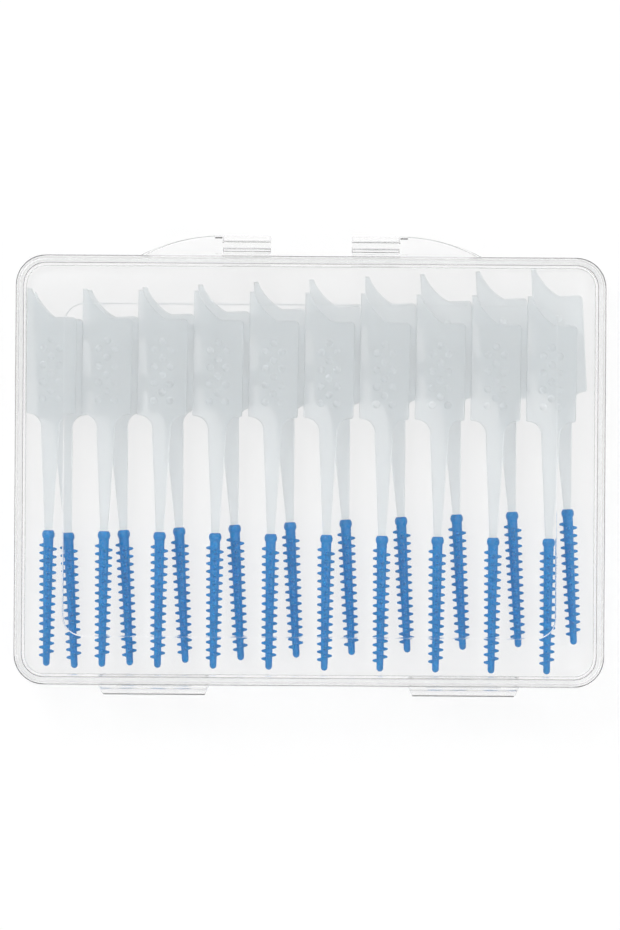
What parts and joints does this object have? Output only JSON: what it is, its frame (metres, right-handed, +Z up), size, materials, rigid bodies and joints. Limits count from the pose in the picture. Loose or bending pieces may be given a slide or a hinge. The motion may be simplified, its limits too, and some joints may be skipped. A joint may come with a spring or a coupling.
{
  "type": "interdental brush set in a hinged case",
  "caption": "Clear hinged pocket case holding two break-off cards of soft interdental brushes with milky plastic handles and blue rubber tips.",
  "frame": {"origin": "middle of the case's underside", "axes": "+X along the case's length, +Y across it towards the hinge, +Z up through the lid"},
  "size_m": [0.0944, 0.0738, 0.0143],
  "materials": {
    "clear_case": "clear polished polypropylene mouldings",
    "milky_handle": "milky translucent moulded plastic with raised grip dots",
    "blue_rubber": "matte soft moulded rubber"
  },
  "bodies": {
    "base": {"case_base": "clear_case"},
    "lid": {"case_lid": "clear_case"},
    "left_latch": {"left_latch": "clear_case"},
    "right_latch": {"right_latch": "clear_case"},
    "lower_card": {"lower_handle_01": "milky_handle", "lower_tip_01": "blue_rubber", "lower_handle_02": "milky_handle", "lower_tip_02": "blue_rubber", "lower_handle_03": "milky_handle", "lower_tip_03": "blue_rubber", "lower_handle_04": "milky_handle", "lower_tip_04": "blue_rubber", "lower_handle_05": "milky_handle", "lower_tip_05": "blue_rubber", "lower_handle_06": "milky_handle", "lower_tip_06": "blue_rubber", "lower_handle_07": "milky_handle", "lower_tip_07": "blue_rubber", "lower_handle_08": "milky_handle", "lower_tip_08": "blue_rubber", "lower_handle_09": "milky_handle", "lower_tip_09": "blue_rubber", "lower_handle_10": "milky_handle", "lower_tip_10": "blue_rubber"},
    "upper_card": {"upper_handle_01": "milky_handle", "upper_tip_01": "blue_rubber", "upper_handle_02": "milky_handle", "upper_tip_02": "blue_rubber", "upper_handle_03": "milky_handle", "upper_tip_03": "blue_rubber", "upper_handle_04": "milky_handle", "upper_tip_04": "blue_rubber", "upper_handle_05": "milky_handle", "upper_tip_05": "blue_rubber", "upper_handle_06": "milky_handle", "upper_tip_06": "blue_rubber", "upper_handle_07": "milky_handle", "upper_tip_07": "blue_rubber", "upper_handle_08": "milky_handle", "upper_tip_08": "blue_rubber", "upper_handle_09": "milky_handle", "upper_tip_09": "blue_rubber", "upper_handle_10": "milky_handle", "upper_tip_10": "blue_rubber"}
  },
  "joints": [
    {"name": "lid_hinge", "type": "hinge", "parent": "base", "child": "lid", "pos_m": [0, 0.0362, 0.0076], "axis": [-1, 0, 0], "range_deg": [0, 180]},
    {"name": "left_latch_flex", "type": "hinge", "parent": "lid", "child": "left_latch", "pos_m": [-0.0248, -0.03535, 0.0106], "axis": [-1, 0, 0], "range_deg": [0, 12], "stiffness_Nm_per_rad": 0.05},
    {"name": "right_latch_flex", "type": "hinge", "parent": "lid", "child": "right_latch", "pos_m": [0.0248, -0.03535, 0.0106], "axis": [-1, 0, 0], "range_deg": [0, 12], "stiffness_Nm_per_rad": 0.05},
    {"name": "upper_card_slide", "type": "slide", "parent": "base", "child": "upper_card", "axis": [1, 0, 0], "range_m": [-0.0002, 0.003]},
    {"name": "lower_card_slide", "type": "slide", "parent": "base", "child": "lower_card", "axis": [1, 0, 0], "range_m": [-0.0009, 0.0013]}
  ]
}
